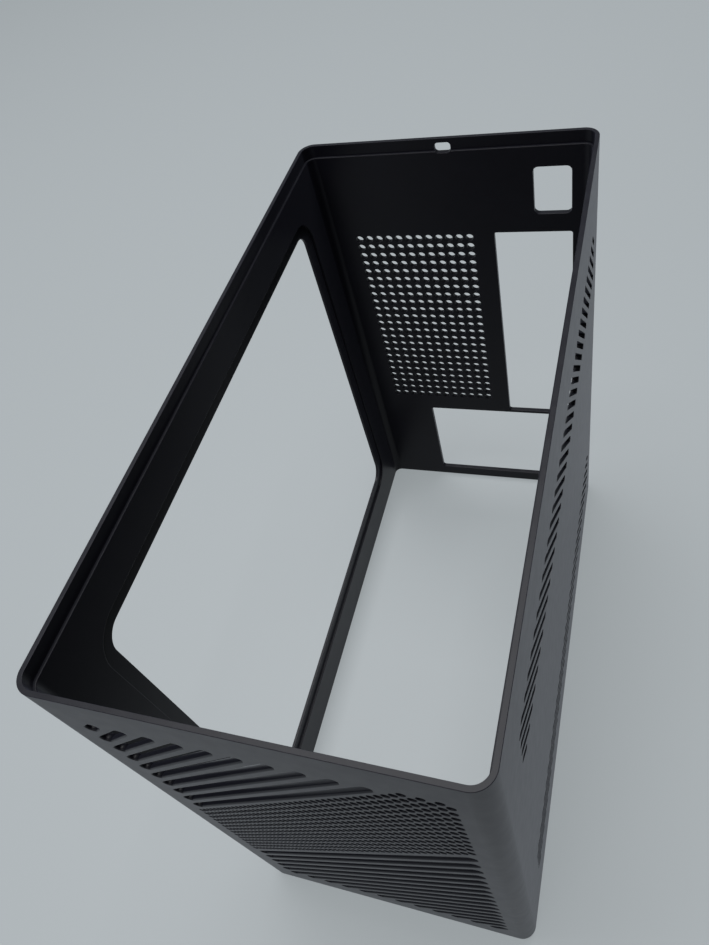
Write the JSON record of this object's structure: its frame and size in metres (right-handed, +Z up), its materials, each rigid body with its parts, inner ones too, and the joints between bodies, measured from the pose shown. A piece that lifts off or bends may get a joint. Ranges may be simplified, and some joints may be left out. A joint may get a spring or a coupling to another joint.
{
  "type": "sheet metal chassis",
  "caption": "Open-topped black sheet metal shell for a small computer, with a side window, diagonal vent slots and rear connector openings",
  "frame": {"origin": "centre of the bounding box at the foot, where the shell rests", "axes": "+Z up to the open rim, +Y to the rear wall with the connector openings, +X to the slotted right wall"},
  "size_m": [0.168, 0.338, 0.306],
  "materials": {
    "black_powder_coat": "satin black powder coat"
  },
  "bodies": {
    "root": {"chassis": "black_powder_coat"}
  },
  "joints": []
}
